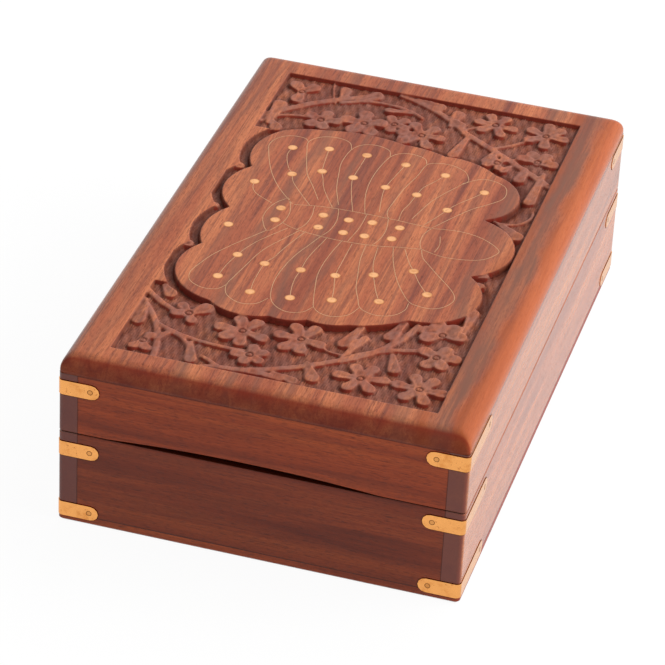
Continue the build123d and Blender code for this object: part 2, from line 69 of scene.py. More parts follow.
# Cusps of the scalloped field, clockwise, each with the bulge of the lobe that follows it
FIELD_CUSPS = [
    (19, 34.8, 0.28), (6.2, 66, 0.15), (7.5, 90, 0.20), (6.4, 117, 0.17), (9.5, 143.5, 0.06),
    (23, 148.5, 0.075), (50, 148.5, 0.06), (64, 146, 0.11), (83, 140, 0.32), (87, 111, 0.33),
    (91.5, 76.5, 0.36), (79.5, 45, 0.07), (63, 36, 0.10), (50.5, 34.5, 0.11), (39, 32.5, 0.16),
]
RIM_CHANNEL, RIM_WIDTH, RIM_FRONT, RIM_BACK = 2.6, 8.5, 40.0, 143.0

# Flowers: middle, radius, and each petal's direction in degrees
FLOWERS = [
    (33.8, 23, 9.2, (113, 62, -17, -81, -133, 180)), (15.5, 26.8, 6.6, (132, -62, 200)),
    (39.7, 11.2, 6.5, (88, 30, -35, -100, -168)), (51.7, 24.8, 9.2, (119, 68, -13, -77, -122, 180)),
    (74.5, 10.3, 8.9, (119, 67, 13, -50, -113, 181)), (92.6, 10.7, 9.0, (-124, -64, 0, 61, 116, 176)),
    (92.8, 29, 7.8, (-112, -58, 12, 66, 150)), (7.4, 7.6, 6.0, (-118, -62, 72)),
    (7.3, 171.3, 8.0, (-90, 50, 128)), (18.8, 155, 7.4, (-128, -66, 10, 75, 150)),
    (33, 158, 8.8, (-115, -55, 20, 100, 175)), (42.5, 161, 6.5, (-95, -20, 50, 120)),
    (53, 157, 9.0, (-128, -62, 0, 60, 122, 182)), (74.3, 172.4, 8.3, (118, 62, -5, -62, -132, 175)),
    (91.8, 171.2, 8.8, (93, 50, -3, -82, -138, 155)), (93.3, 153.5, 7.6, (122, 62, 0, 172)),
    (81, 148.5, 5.6, (60, 130, -150, -70)), (91.3, 41.6, 8.4, (8, 62, 118, 168, 215)),
]

# Rounded leaves: foot, tip, half width at the foot and at the tip
LEAVES = [
    ((0.5, 30), (2.8, 15.4), 1.3, 2.7), ((21, 11.5), (24.6, 0.4), 1.3, 2.5),
    ((27, 5.5), (34.5, 0.8), 1.1, 1.3), ((3.5, 39.5), (8.4, 33.2), 1.3, 2.6),
    ((67.5, 39), (64, 24.3), 1.3, 2.8), ((79, 45), (76, 32.8), 1.3, 2.8),
    ((80, 26), (83.5, 15.9), 1.3, 2.6), ((57, 13), (62.2, 3.3), 1.3, 2.8),
    ((49, 4.5), (58, 1.4), 1.1, 2.2), ((97, 44), (97, 59.4), 1.1, 2.4),
    ((90.5, 77.5), (96.6, 79.4), 1.0, 1.8), ((92, 74.5), (96.8, 72.5), 1.0, 1.6),
    ((97, 147), (97, 125.2), 1.3, 2.6), ((91, 111.5), (100.4, 103.6), 1.2, 2.8),
    ((90.5, 148), (90.4, 137.8), 1.3, 2.6), ((85.4, 148), (83.6, 142.4), 1.1, 2.0),
    ((79, 156), (77.2, 146), 1.3, 2.8), ((67.5, 161), (65.8, 145.8), 1.3, 2.6),
    ((46.5, 157.5), (48.8, 148.6), 1.3, 2.8), ((60.3, 167), (61.3, 177.8), 1.3, 2.8),
    ((46, 170.5), (36.2, 169), 1.1, 2.3), ((26.5, 172), (34.0, 179.4), 1.3, 2.8),
    ((21.6, 169), (21, 179.8), 0.9, 2.6), ((2.8, 147.5), (3, 163.6), 1.3, 2.9),
    ((4, 149), (7.6, 142.6), 1.3, 2.7), ((45, 180), (56.5, 176.8), 1.3, 2.6),
    ((-1, 116.9), (4.9, 116.8), 2.1, 2.2), ((-1, 90.2), (5, 90.1), 1.9, 1.8),
    ((-1, 65.2), (4.8, 65.2), 2.1, 2.2), ((58, 171), (65.5, 167.5), 1.1, 2.2),
    ((66, 20), (70.5, 33.5), 1.1, 1.9), ((13.5, 15), (9.6, 9.2), 1.1, 2.2),
    ((15.5, 26.8), (21.9, 33.2), 1.3, 3.0),
]

# Stems: start, a point on the way, end, and width
STEMS = [
    ((-2, 37), (5.5, 30.2), (14, 25.4), 3.0), ((-1.5, 31), (8.2, 17.5), (13, -1), 3.0),
    ((8, 18.5), (20, 14), (37, 12.8), 2.7), ((12, 16), (18.5, 12.4), (22.6, 6), 2.4),
    ((42, 3.5), (58, 12), (73, 24.5), 3.2), ((66, 17.5), (77, 29.5), (83, 44), 3.2),
    ((69, 21.5), (80, 28.8), (92, 31.5), 3.0), ((28, 0), (40, 2.6), (52, 2), 3.4),
    ((-3, 148), (12, 164.2), (32, 177.5), 3.5), ((22, 168.8), (35, 173.5), (50, 168.5), 2.5),
    ((40, 181), (58, 171.5), (68, 162), 3.3), ((66, 164), (82, 153.3), (104, 137), 3.4),
    ((0, 148), (7, 154.3), (17, 155), 2.4), ((65, 166), (69, 169), (73, 172), 2.0),
    ((77, 157), (83.5, 162.5), (89.5, 169.5), 2.2), ((84, 151.5), (88, 153.6), (93, 153.4), 2.0),
    ((99.6, 122), (97.6, 114), (89.5, 112.2), 2.0), ((58, 24), (61, 21.5), (65, 21), 1.8),
    ((80, 12), (83, 12), (86, 11), 2.0), ((20, 168), (18, 173), (16, 181), 1.4),
]

# Heights above the carving's foot, and how wide each edge is rounded, in millimetres
FLOWER_HEIGHT, LEAF_HEIGHT, STEM_HEIGHT, GROUND_HEIGHT = 1.75, 1.7, 1.5, 0.75
PETAL_EDGE, LEAF_EDGE, STEM_EDGE, FIELD_EDGE, RIM_EDGE, PANEL_EDGE = 0.65, 0.7, 1.0, 0.5, 0.45, 0.35
BUTTON_HEIGHT, BUTTON_RADIUS, BUTTON_EDGE = 1.65, 1.8, 0.5
RING_RADIUS, RING_DEPTH, RING_WIDTH, PRICK_DEPTH, PRICK_WIDTH = 1.0, 0.55, 0.28, 0.4, 0.3
SCOOP_DEPTH = 0.22

# Half width of a petal, of six or of fewer, as a share of its flower's radius, and the share left at its foot
SLIM_PETAL, BROAD_PETAL, PETAL_FOOT = 0.29, 0.36, 0.45

# Unevenness that the tools leave: depth and size in millimetres, and a seed
KNIFE_WAVE, KNIFE_NICKS = (0.14, 1.9, 1), (0.09, 0.8, 5)
GROUND_WAVE, GROUND_STROKES, GROUND_NICKS = (0.18, 2.6, 7), (0.38, 0.42, 3), (0.06, 0.42, 9)

# Brass inlay: dots, and wires through given points
DOTS = [
    (15.8, 133.2), (27.3, 136.6), (40, 137), (53.6, 135.6), (67.5, 133.6), (82.1, 127.5),
    (20.6, 116.8), (29.2, 121.9), (39.8, 121.6), (51.3, 119.4), (62, 118.4), (73.7, 112.6),
    (23.6, 95.1), (37.5, 95.6), (45.9, 95.6), (53.4, 96.7), (62.4, 96.7),
    (24, 87.5), (38.1, 88), (46.4, 87.6), (53.3, 88), (61.8, 89.4),
    (19.3, 63.3), (28.8, 61.2), (40.4, 61.6), (51.4, 62.2), (62.4, 66.7), (73.5, 73.2),
    (17.4, 49.3), (29.5, 44), (42, 45), (54.4, 48.2), (68.2, 52.5), (81, 61.5),
    (10.7, 108), (11, 79.7),
]
WIRES = [
    ((26.2, 98.8), (20, 106), (16, 112), (12.5, 119), (9.2, 128), (8, 133), (9.4, 137.5), (13, 140.4),
     (17.5, 140.6), (19.6, 138.6)),
    ((33.2, 104.2), (29, 112), (25.5, 118), (23, 125), (21, 132), (19.6, 138.6), (22.4, 143),
     (27.5, 144.6), (32.4, 143), (34.2, 138.6)),
    ((40.2, 103.5), (38.5, 108), (36.5, 114), (34.6, 123), (33.5, 130), (34.2, 138.6), (36.8, 143),
     (41.4, 144.4), (46, 142.6), (47.4, 138.6)),
    ((49.8, 100.8), (48.5, 105), (46.5, 113), (45.6, 122), (46, 131), (47.4, 138.6), (50, 142), (54, 143),
     (58.4, 141.6), (60, 138)),
    ((57.6, 100.8), (56, 105), (56.3, 112), (57.2, 121), (59, 130), (60, 138), (63.4, 140.4), (68, 140.6),
     (73, 138), (75.4, 133), (74, 130.4)),
    ((64.6, 103.5), (66, 110), (67.5, 116), (70, 122), (72.5, 127), (75, 131.4), (79, 135.3),
     (83.5, 135.6), (87.6, 133.2), (89, 129), (88.4, 125), (85, 120.5), (81, 116), (77, 109.5), (74, 104),
     (71.8, 100)),
    ((15.8, 133), (15.5, 128), (18, 121), (20.6, 116.8), (22.4, 112.2), (26.4, 106.6), (31.6, 100)),
    ((27.3, 136.6), (28, 130), (29.2, 122), (30.8, 117.6), (33.2, 111), (38.8, 101.2)),
    ((40, 137), (39.9, 129), (39.8, 121.6), (40.6, 117), (42.6, 110), (45.6, 101.2)),
    ((53.6, 135.6), (52.4, 128), (51.3, 119.4), (51.9, 113), (53.6, 104)),
    ((67.5, 133.6), (65, 128), (62.8, 123.6), (62, 118.4), (61.3, 112), (60.4, 107), (60.8, 101)),
    ((82.1, 127.5), (79, 122.4), (75.6, 117), (73.7, 112.6), (71.6, 107), (69, 101)),
    ((23.4, 80.4), (20.4, 75.5), (17, 70), (12.4, 61.5), (10, 54.5), (8.7, 48.6), (10.2, 43.8),
     (14.8, 41.2), (19.4, 42), (21.5, 45.4)),
    ((33.2, 84), (30, 77.5), (27, 71.5), (25, 65.5), (23.6, 58), (22.3, 51), (21.5, 45), (23.4, 39.8),
     (28.4, 36.8), (33.2, 38.2), (35.8, 42.4)),
    ((40.8, 84), (38.6, 77), (36.6, 70.5), (35.3, 64), (34.6, 56), (35, 49), (36.6, 42.6), (39.4, 38.8),
     (43.6, 37), (48, 38.6), (50.2, 42.6)),
    ((47.5, 83), (46.4, 75), (45.9, 67), (46.2, 60), (47.6, 53), (49.2, 46), (50.6, 42), (53.6, 39.6),
     (57.6, 39.4), (61.6, 42), (63.5, 47)),
    ((55.3, 83), (56, 74), (57.6, 66), (59.3, 58), (61.6, 52), (63.6, 47.2), (66.6, 45.2), (70.4, 44.7),
     (74.6, 46.6), (77, 50.6), (77, 54.6)),
    ((63.7, 84.6), (65.5, 78), (67.6, 72), (70.2, 66), (73.6, 60), (77, 55.4), (80, 54.2), (84, 54),
     (87.4, 56), (89.5, 60), (89.2, 63.4), (87, 67), (83, 71.5), (79.4, 75.5), (76.4, 79), (74, 82),
     (72.2, 87)),
    ((17.4, 49.3), (17.9, 56), (19.3, 63.3), (20.6, 68), (23.4, 74.4), (29.2, 84)),
    ((29.5, 44), (28.7, 51), (28.8, 61.2), (30.5, 66), (32, 73), (35.2, 84)),
    ((42, 45), (40.9, 50), (40.2, 56), (40.4, 61.6), (40.5, 70), (42.6, 83)),
    ((54.4, 48.2), (53.2, 54.5), (51.4, 62.2), (51.1, 71), (51, 82)),
    ((68.2, 52.5), (65.4, 58.5), (62.4, 66.7), (60.4, 73.5), (59.2, 83)),
    ((81, 61.5), (77, 67), (73.5, 73.2), (70.6, 78), (67.4, 85)),
    ((24, 102), (21, 97.5), (19.8, 92), (20.2, 86.5), (23.4, 80.4), (25.8, 84), (27, 88.5), (27, 93.5),
     (25.6, 98.6), (24, 102)),
    ((27, 98.6), (36, 100.6), (48, 101.2), (60, 100.9), (72, 100)),
    ((26.4, 86.8), (31, 84.6), (38, 83.2), (48, 82.6), (58, 83.5), (65, 85.2), (72, 86.6)),
    ((72, 100), (70.6, 95.5), (70.8, 90.5), (72.2, 86.6)),
    ((72, 100), (80, 101.3), (86, 100.6), (91, 98.4), (95, 95), (95.4, 92.5), (92.6, 88), (88, 85.6),
     (80, 84.6), (72.2, 86.6)),
    ((33.2, 100), (34.2, 94), (33.8, 88), (32.2, 84.4)),
    ((41, 101), (42.4, 94.5), (42.2, 88), (40.6, 83.2)), ((50.4, 101), (50.4, 92), (49.2, 82.8)),
    ((57.5, 101), (58.7, 94), (58.4, 88), (57, 83.4)), ((76.6, 86.4), (77, 91), (75.8, 96.2)),
    ((10.7, 108), (11.4, 104), (14, 100.6), (19.9, 97)),
]
WIRE_WIDTH = 0.28

# Outlines of the brass. The wire's: share of its half width, and rise over the wood. The heads': radius,
# rise, and how much it is a rim.
WIRE_PROFILE = ((-1, -0.1), (-0.7, 0.015), (0.7, 0.015), (1, -0.1))
DOT_PROFILE = ((1.62, -0.4, 1), (1.62, 0.005, 1), (1.42, 0.01, 0.6), (1.1, 0.02, 0), (0.7, 0.03, 0))
NAIL_PROFILE = ((0.9, -0.3, 1), (0.9, 0.004, 1), (0.74, 0.006, 1), (0.64, 0.010, 0), (0.3, 0.012, 0))
DOT_SIDES, NAIL_SIDES = 28, 20

# All points of one nail lie within this of one another, in millimetres, and two nails lie further apart
NAIL_SPREAD = 3.6

# Velvet pads: grid step and soft edge in millimetres, then the edge's thickness and the unevenness as shares,
# and the waves of that unevenness
PAD_STEP, PAD_ROUND, PAD_EDGE, PAD_UNEVEN, PAD_WAVE = 1.8, 1.5, 0.75, 0.05, (1.0, 4.0, 2)


# Plane geometry


def arc_points(start, middle, end, count):
    """Points along the arc through three points, or along a line where they are in line."""
    (ax, ay), (bx, by), (cx, cy) = start, middle, end
    turn = 2 * (ax * (by - cy) + bx * (cy - ay) + cx * (ay - by))
    shares = np.linspace(0, 1, count)
    if abs(turn) < 1e-6:
        return [(ax + (cx - ax) * t, ay + (cy - ay) * t) for t in shares]
    a2, b2, c2 = ax * ax + ay * ay, bx * bx + by * by, cx * cx + cy * cy
    ox = (a2 * (by - cy) + b2 * (cy - ay) + c2 * (ay - by)) / turn
    oy = (a2 * (cx - bx) + b2 * (ax - cx) + c2 * (bx - ax)) / turn
    first = np.arctan2(ay - oy, ax - ox)
    through = (np.arctan2(by - oy, bx - ox) - first) % (2 * pi)
    whole = (np.arctan2(cy - oy, cx - ox) - first) % (2 * pi)
    if through > whole:
        whole -= 2 * pi
    radius = hypot(ax - ox, ay - oy)
    return [(ox + radius * cos(first + whole * t), oy + radius * sin(first + whole * t)) for t in shares]


def smooth_line(points):
    """A line that runs smoothly through every given point."""
    p = np.array([points[0], *points, points[-1]], float)
    line = []
    for i in range(1, len(p) - 2):
        for t in np.arange(WIRE_STEPS) / WIRE_STEPS:
            line.append(
                0.5 * (2 * p[i] + (p[i + 1] - p[i - 1]) * t
                       + (2 * p[i - 1] - 5 * p[i] + 4 * p[i + 1] - p[i + 2]) * t ** 2
                       + (3 * p[i] - p[i - 1] - 3 * p[i + 1] + p[i + 2]) * t ** 3)
            )
    return np.array([*line, p[-1]])


def lobe_points(number):
    """Points along one lobe of the field's edge."""
    x0, y0, bulge = FIELD_CUSPS[number]
    x1, y1, _ = FIELD_CUSPS[(number + 1) % len(FIELD_CUSPS)]
    top = ((x0 + x1) / 2 - (y1 - y0) * bulge, (y0 + y1) / 2 + (x1 - x0) * bulge)
    return arc_points((x0, y0), top, (x1, y1), LOBE_STEPS)


def distance_to_line(x, y, points):
    """Distance of every grid point to a line of points."""
    nearest = np.full(x.shape, 1e9)
    for (ax, ay), (bx, by) in zip(points, points[1:]):
        run_x, run_y = bx - ax, by - ay
        share = np.clip(((x - ax) * run_x + (y - ay) * run_y) / (run_x ** 2 + run_y ** 2), 0, 1)
        nearest = np.minimum(nearest, np.hypot(x - ax - share * run_x, y - ay - share * run_y))
    return nearest


def inside_outline(x, y, points):
    """Whether every grid point lies inside a closed line of points."""
    inside = np.zeros(x.shape, bool)
    for (ax, ay), (bx, by) in zip(points, points[1:] + points[:1]):
        if ay == by:
            continue
        crosses = (ay > y) != (by > y)
        inside ^= crosses & (x < (bx - ax) * (y - ay) / (by - ay) + ax)
    return inside


def tongue_depth(x, y, foot, tip, foot_half, tip_half):
    """Depth inside a tongue whose round tip ends at a point, and its place along and across."""
    reach = hypot(tip[0] - foot[0], tip[1] - foot[1])
    ahead = ((tip[0] - foot[0]) / reach, (tip[1] - foot[1]) / reach)
    length = reach - tip_half
    along = (x - foot[0]) * ahead[0] + (y - foot[1]) * ahead[1]
    across = (y - foot[1]) * ahead[0] - (x - foot[0]) * ahead[1]
    lean = np.clip((foot_half - tip_half) / length, -0.95, 0.95)
    rise = np.sqrt(1 - lean ** 2)
    side = np.abs(across)
    place = along * rise - side * lean
    depth = foot_half - side * rise - along * lean
    depth = np.where(place < 0, foot_half - np.hypot(side, along), depth)
    depth = np.where(place > rise * length, tip_half - np.hypot(side, along - length), depth)
    return depth, along / reach, across


# Relief of the lid, as heights above the carving's foot in millimetres


def shoulder(depth, width):
    """A rounded rise from 0 at an outline to 1 at a width inside it."""
    share = np.clip(depth / width, 0, 1)
    return np.sqrt(1 - (1 - share) ** 2)


def wobble(x, y, depth, size, seed):
    """Slow, smooth unevenness of a depth either way, as a knife leaves it."""
    total = np.zeros(x.shape)
    for step in range(5):
        turn = seed * 1.7 + step * 2.4
        total += np.sin((x * cos(turn) + y * sin(turn)) / size * (1 + 0.45 * step) + seed * 3.1 + step)
    return depth * (total / 5)


def bell(distance, width):
    """1 at a distance of 0, and falling off smoothly over a width."""
    return np.exp(-((distance / width) ** 2))


def field_height(x, y):
    """The flat field, with a knife-cut edge, and depth inside it."""
    edge = [point for number in range(len(FIELD_CUSPS)) for point in lobe_points(number)[:-1]]
    distance = distance_to_line(x, y, edge + edge[:1])
    depth = np.where(inside_outline(x, y, edge), distance, -distance)
    return CARVING_DEPTH * shoulder(depth, FIELD_EDGE), depth


def rim_height(x, y, field_depth):
    """The scalloped rim along the left border, across a channel from the field."""
    depth = np.minimum(-field_depth - RIM_CHANNEL, RIM_WIDTH - x)
    depth = np.minimum(depth, np.minimum(y - RIM_FRONT, RIM_BACK - y))
    return CARVING_DEPTH * shoulder(depth, RIM_EDGE)


def flower_height(x, y, place):
    """Rounded petals, each gouged towards a button at the middle."""
    centre_x, centre_y, radius, petals = place
    height = np.zeros(x.shape)
    half = radius * (SLIM_PETAL if len(petals) == 6 else BROAD_PETAL)
    for number, petal in enumerate(petals):
        reach = radius * (1 + 0.05 * sin(number * 1.9 + centre_y))
        angle = radians(petal)
        tip = (centre_x + reach * cos(angle), centre_y + reach * sin(angle))
        depth, along, across = tongue_depth(x, y, (centre_x, centre_y), tip, PETAL_FOOT * half, half)
        gouge = SCOOP_DEPTH * bell(across, 0.5 * half) * np.clip(1.15 - along, 0, 1)
        level = FLOWER_HEIGHT + 0.10 * sin(number * 2.7 + centre_x) - gouge - 0.2 * np.clip(0.5 - along, 0, 1)
        height = np.maximum(height, level * shoulder(depth, PETAL_EDGE))
    from_middle = np.hypot(x - centre_x, y - centre_y)
    return np.maximum(height, BUTTON_HEIGHT * shoulder(BUTTON_RADIUS - from_middle, BUTTON_EDGE))


def leaf_height(x, y, place):
    """A rounded leaf, scooped along its middle, with one side lower than the other."""
    foot, tip, foot_half, tip_half = place
    depth, along, across = tongue_depth(x, y, foot, tip, foot_half, tip_half)
    scoop = SCOOP_DEPTH * bell(across, 0.45 * tip_half) * np.clip(1.2 - along, 0, 1)
    level = LEAF_HEIGHT + 0.09 * across - scoop - 0.2 * np.clip(0.3 - along, 0, 1)
    return np.minimum(level, CARVING_DEPTH - 0.1) * shoulder(depth, LEAF_EDGE)


def stem_height(x, y, place):
    """A stem with a rounded top."""
    start, middle, end, width = place
    line = arc_points(start, middle, end, STEM_STEPS)
    return STEM_HEIGHT * shoulder(0.52 * width - distance_to_line(x, y, line), STEM_EDGE)


def window(x, y, points, grow):
    """Rows and columns of the grid that an element can reach."""
    xs, ys = [p[0] for p in points], [p[1] for p in points]
    columns = np.nonzero((x[0] >= min(xs) - grow) & (x[0] <= max(xs) + grow))[0]
    rows = np.nonzero((y[:, 0] >= min(ys) - grow) & (y[:, 0] <= max(ys) + grow))[0]
    return slice(rows[0], rows[-1] + 1), slice(columns[0], columns[-1] + 1)


def blurred(values, reach):
    """Mean over a square of grid points."""
    for axis in (0, 1):
        edges = [(reach + 1, reach) if side == axis else (0, 0) for side in (0, 1)]
        total = np.cumsum(np.pad(values, edges, mode="edge"), axis=axis)
        size = total.shape[axis]
        upper = np.take(total, range(2 * reach + 1, size), axis=axis)
        lower = np.take(total, range(0, size - 2 * reach - 1), axis=axis)
        values = (upper - lower) / (2 * reach + 1)
    return values


def ornament_height(x, y):
    """Stems, leaves and flowers, one over the other, softened by the knife, with punched rings."""
    height = np.zeros(x.shape)
    elements = [(stem_height, stem, stem[:3], stem[3] + 3) for stem in STEMS]
    elements += [(leaf_height, leaf, leaf[:2], leaf[3] + 1) for leaf in LEAVES]
    elements += [(flower_height, flower, [flower[:2]], flower[2] + 1) for flower in FLOWERS]
    for shape, place, points, grow in elements:
        part = window(x, y, points, grow)
        height[part] = np.maximum(height[part], shape(x[part], y[part], place))
    height = blurred(height, 1)
    for centre_x, centre_y, _, _ in FLOWERS:
        part = window(x, y, [(centre_x, centre_y)], 2)
        from_middle = np.hypot(x[part] - centre_x, y[part] - centre_y)
        ring = RING_DEPTH * bell(from_middle - RING_RADIUS, RING_WIDTH)
        height[part] -= ring + PRICK_DEPTH * bell(from_middle, PRICK_WIDTH)
    return height


def crevice_shade_and_dirt(height):
    """How much each point of the carving is painted darker, as dirt and painted shade: hollows, steep walls
    and the ground.
    """
    # Painted shade in the hollows, painted shade and dirt on steep walls, and darker the lower the ground
    # lies
    shade_and_dirt = np.clip((blurred(height, 4) - height) / 0.75, 0, 1) ** 0.8
    rise_y, rise_x = np.gradient(height, FINE_STEP)
    wall = 0.7 * np.clip((np.hypot(rise_x, rise_y) - 0.6) / 1.6, 0, 1)
    floor = 0.6 * np.clip((1.15 - height) / 0.95, 0, 1)
    return np.maximum(np.maximum(shade_and_dirt, wall), floor)


def relief(x, y):
    """Height under the lid's flat top, how much each point is carved, and its dirt and painted shade."""
    field, field_depth = field_height(x, y)
    knife = wobble(x, y, *KNIFE_WAVE) + wobble(x, y, *KNIFE_NICKS)
    strokes = wobble(x * 2.0, y * 0.25, *GROUND_STROKES) + wobble(x, y, *GROUND_NICKS)
    ground = GROUND_HEIGHT * np.clip((-field_depth - 0.4) / 2.6, 0, 1) + wobble(x, y, *GROUND_WAVE) + strokes
    carved = np.clip(np.maximum(ornament_height(x, y) + knife, ground), -0.2, CARVING_DEPTH - 0.08)
    edge = np.minimum(np.minimum(x, PANEL_WIDTH - x), np.minimum(y, PANEL_DEPTH - y))
    plain = np.maximum(field, rim_height(x, y, field_depth))
    plain = np.maximum(plain, CARVING_DEPTH * shoulder(-edge + 0.15, PANEL_EDGE))
    height = np.maximum(carved, plain)
    worked = 1 - np.clip((plain - 1.9) / 0.1, 0, 1)
    return height - CARVING_DEPTH, worked, np.where(edge > -0.6, crevice_shade_and_dirt(height), 0)


# Meshes


def placed(obj):
    """The object, put into the scene."""
    bpy.context.scene.collection.objects.link(obj)
    return obj


def new_object(name, vertices, faces):
    """A smooth-shaded object from points in millimetres."""
    mesh = bpy.data.meshes.new(name)
    mesh.from_pydata((np.asarray(vertices, float) * MM).tolist(), [], faces)
    mesh.validate()
    mesh.shade_smooth()
    return placed(bpy.data.objects.new(name, mesh))


def add_point_values(obj, name, values):
    """Keep one number for each point of a mesh, for its material."""
    attribute = obj.data.attributes.new(name, "FLOAT", "POINT")
    attribute.data.foreach_set("value", np.asarray(values, np.float32))


def closed_grid(points, shape, axis, foot):
    """Points and faces of a grid closed by sides and one face, at a foot level along an axis."""
    index = np.arange(len(points)).reshape(shape)
    faces = np.stack([index[:-1, :-1], index[:-1, 1:], index[1:, 1:], index[1:, :-1]], axis=-1)
    rim = np.concatenate([index[0, :-1], index[:-1, -1], index[-1, :0:-1], index[:0:-1, 0]])
    below = len(points) + np.arange(len(rim))
    sides = np.stack([rim, below, np.roll(below, -1), np.roll(rim, -1)], axis=-1)
    edge = points[rim].copy()
    edge[:, axis] = foot
    faces = faces.reshape(-1, 4).tolist() + sides.tolist() + [below[::-1].tolist()]
    return np.concatenate([points, edge]), faces


def grid_lines(low, high, panel_low, panel_high):
    """Places of the lid's grid lines across one direction: close over the panel and the rounds."""
    ends = BOARD_ROUND * np.sin(np.linspace(0, pi / 2, ROUND_STEPS + 1)[1:])
    inner_low, inner_high = low + BOARD_ROUND, high - BOARD_ROUND
    fine = np.arange(panel_low - GRID_MARGIN, panel_high + GRID_MARGIN + FINE_STEP, FINE_STEP)
    before = np.linspace(inner_low, fine[0], int((fine[0] - inner_low) / COARSE_STEP) + 2)[:-1]
    after = np.linspace(fine[-1], inner_high, int((inner_high - fine[-1]) / COARSE_STEP) + 2)[1:]
    return np.concatenate([inner_low - ends[::-1], before, fine, after, inner_high + ends])


def rounded_board(x, y):
    """Where the grid's points come once the board's top edges and corners are rounded, and their drop."""
    past_x, past_y = (
        np.maximum(np.abs(places - (low + high) / 2) - (high - low) / 2 + BOARD_ROUND, 0)
        for places, low, high in ((x, BOARD_LOW.x, BOARD_HIGH.x), (y, BOARD_LOW.y, BOARD_HIGH.y))
    )
    past = np.maximum(past_x, past_y)
    drop = BOARD_ROUND - np.sqrt(np.maximum(BOARD_ROUND ** 2 - past ** 2, 0))
    power = CORNER_POWER_TOP + (CORNER_POWER_FOOT - CORNER_POWER_TOP) * (past / BOARD_ROUND) ** 2
    safe = np.maximum(past, 1e-9)
    size = ((past_x / safe) ** power + (past_y / safe) ** power) ** (1 / power)
    pull = 1 - 1 / np.maximum(size, 1)
    return x - np.sign(x) * past_x * pull, y - np.sign(y) * past_y * pull, drop


def carved_lid():
    """The lid's top board: rounds, carved panel, sides and underside, as one closed mesh."""
    columns = grid_lines(BOARD_LOW.x, BOARD_HIGH.x, PANEL_LEFT, PANEL_RIGHT)
    rows = grid_lines(BOARD_LOW.y, BOARD_HIGH.y, PANEL_FRONT, PANEL_BACK)
    x, y = np.meshgrid(columns, rows)
    carving, worked, shade_and_dirt = relief(x - PANEL_LEFT, y - PANEL_FRONT)
    round_x, round_y, drop = rounded_board(x, y)
    points = np.stack([round_x, round_y, LID_TOP + carving - drop], axis=-1).reshape(-1, 3)
    vertices, faces = closed_grid(points, x.shape, 2, BOARD_LOW.z)
    obj = new_object("lid_carving", vertices, faces)
    foot = np.zeros(len(vertices) - len(points))
    add_point_values(obj, "worked", np.concatenate([worked.ravel(), foot]))
    add_point_values(obj, "shade_and_dirt", np.concatenate([shade_and_dirt.ravel(), foot]))
    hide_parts("lid_top_board")
    return obj


def inlaid_wires():
    """Thin brass wires, a hair proud of the field."""
    vertices, faces = [], []
    lanes = len(WIRE_PROFILE)
    for points in WIRES:
        line = smooth_line(points)
        run = np.gradient(line, axis=0)
        run /= np.linalg.norm(run, axis=1)[:, None]
        side = np.stack([-run[:, 1], run[:, 0]], axis=1) * WIRE_WIDTH / 2
        first = len(vertices)
        for place, offset in zip(line, side):
            for share, rise in WIRE_PROFILE:
                x, y = place + share * offset
                vertices.append((PANEL_LEFT + x, PANEL_FRONT + y, LID_TOP + rise))
        for a in range(first, len(vertices) - lanes, lanes):
            for lane in range(lanes):
                beside = (lane + 1) % lanes
                faces.append((a + lane, a + lane + lanes, a + lanes + beside, a + beside))
        last = len(vertices)
        faces += [tuple(range(first, first + lanes)), tuple(range(last - 1, last - lanes - 1, -1))]
    obj = new_object("inlaid_wires", vertices, faces)
    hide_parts("inlay_wires")
    return obj


def turned_discs(name, places, profile, sides):
    """Round heads, each at a place with an outward direction."""
    vertices, faces, rims = [], [], []
    for place, outward in places:
        across = outward.orthogonal().normalized()
        up = outward.cross(across)
        first = len(vertices)
        for radius, rise, rim in profile:
            for step in range(sides):
                turn = 2 * pi * step / sides
                vertices.append(place + outward * rise + (across * cos(turn) + up * sin(turn)) * radius)
                rims.append(rim)
        for level in range(len(profile) - 1):
            for step in range(sides):
                a, b = first + level * sides + step, first + level * sides + (step + 1) % sides
                faces.append((a, b, b + sides, a + sides))
        last = first + (len(profile) - 1) * sides
        faces += [tuple(range(last, last + sides)), tuple(range(first + sides - 1, first - 1, -1))]
    obj = new_object(name, vertices, faces)
    add_point_values(obj, "rim", rims)
    return obj


def inlaid_dots():
    """Brass pins let into the field, filed nearly flat."""
    places = [(Vector((PANEL_LEFT + x, PANEL_FRONT + y, LID_TOP)), Vector((0, 0, 1))) for x, y in DOTS]
    obj = turned_discs("inlaid_dots", places, DOT_PROFILE, DOT_SIDES)
    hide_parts("inlay_dots")
    return obj


def nail_places(node):
    """Middle and outward direction of every nail in a node of separate nails, in millimetres."""
    groups = []
    for vertex in nodes[node].data.vertices:
        point = vertex.co / MM
        for group in groups:
            if (point - group[0]).length < NAIL_SPREAD:
                group.append(point)
                break
        else:
            groups.append([point])
    places = []
    for group in groups:
        low = Vector(min(p[axis] for p in group) for axis in range(3))
        high = Vector(max(p[axis] for p in group) for axis in range(3))
        middle = (low + high) / 2
        axis = 0 if abs(middle.x) / BOARD_HIGH.x > abs(middle.y) / BOARD_HIGH.y else 1
        outward = Vector((0, 0, 0))
        outward[axis] = 1 if middle[axis] > 0 else -1
        middle[axis] = high[axis] if middle[axis] > 0 else low[axis]
        places.append((middle, outward))
    return places


def nail_heads(name, node):
    """Round nail heads, peened nearly level with the straps, with a painted dark ring for the shade in the
    gap round each.
    """
    obj = turned_discs(name, nail_places(node), NAIL_PROFILE, NAIL_SIDES)
    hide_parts(node)
    return obj


